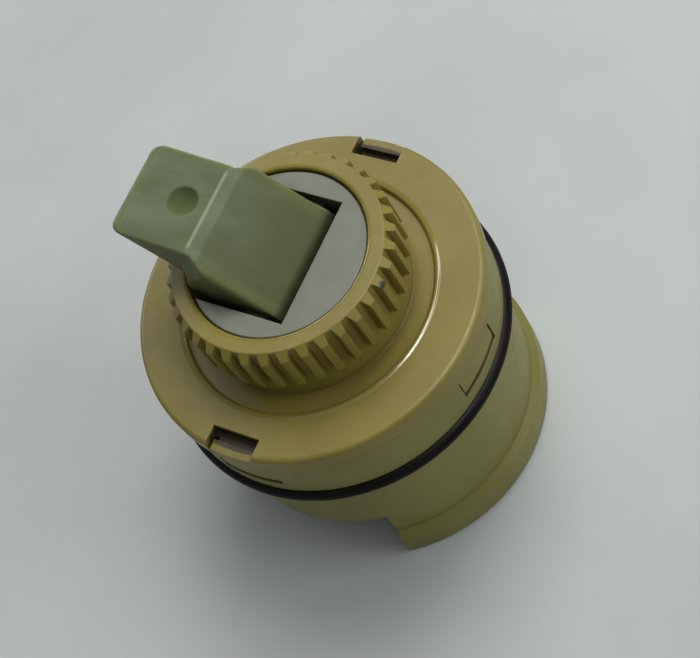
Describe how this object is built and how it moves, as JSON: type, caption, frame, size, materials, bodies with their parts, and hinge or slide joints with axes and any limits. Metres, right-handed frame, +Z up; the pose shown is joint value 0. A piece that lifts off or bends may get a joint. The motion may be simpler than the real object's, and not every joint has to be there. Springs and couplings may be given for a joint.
{
  "type": "ceramic disc tap cartridge",
  "caption": "Single-lever mixer tap cartridge: leaning lever in a turning rotor, toothed collar on a flanged cap, and a sealed body with ceramic discs on two feet.",
  "frame": {"origin": "centre of the foot ring, on the surface that the cartridge stands on", "axes": "+Z up the body axis towards the lever, +X along the lever pin, -Y towards the front of the tap"},
  "size_m": [0.0406, 0.0406, 0.0462],
  "materials": {
    "tan_plastic": "satin moulded",
    "olive_plastic": "satin moulded",
    "green_plastic": "translucent moulded",
    "white_plastic": "smooth",
    "black_rubber": "satin",
    "alumina": "lapped",
    "steel": "ground"
  },
  "bodies": {
    "housing": {"upper_housing": "tan_plastic", "lower_housing": "olive_plastic", "body_o_ring": "black_rubber", "slip_ring": "white_plastic", "fixed_disc": "alumina", "hot_port_seal": "black_rubber", "cold_port_seal": "black_rubber", "outlet_port_seal": "black_rubber", "hot_inlet_seal": "black_rubber", "cold_inlet_seal": "black_rubber"},
    "rotor": {"rotor": "white_plastic", "lever_pin": "steel"},
    "lever": {"lever": "green_plastic"},
    "carrier": {"disc_carrier": "white_plastic", "carrier_seal": "black_rubber", "noise_screen": "steel", "moving_disc": "alumina"}
  },
  "joints": [
    {"name": "temperature_turn", "type": "hinge", "parent": "housing", "child": "rotor", "pos_m": [0, 0, 0.03], "axis": [0, 0, 1], "range_deg": [-50, 50]},
    {"name": "lever_tilt", "type": "hinge", "parent": "rotor", "child": "lever", "pos_m": [0, 0, 0.03553], "axis": [1, 0, 0], "range_deg": [0, 24]},
    {"name": "carrier_slide", "type": "slide", "parent": "rotor", "child": "carrier", "axis": [0, 1, 0], "range_m": [0, 0.0051]}
  ],
  "couplings": [
    {"joint": "carrier_slide", "follows": "lever_tilt", "m_per_rad": 0.012101}
  ]
}
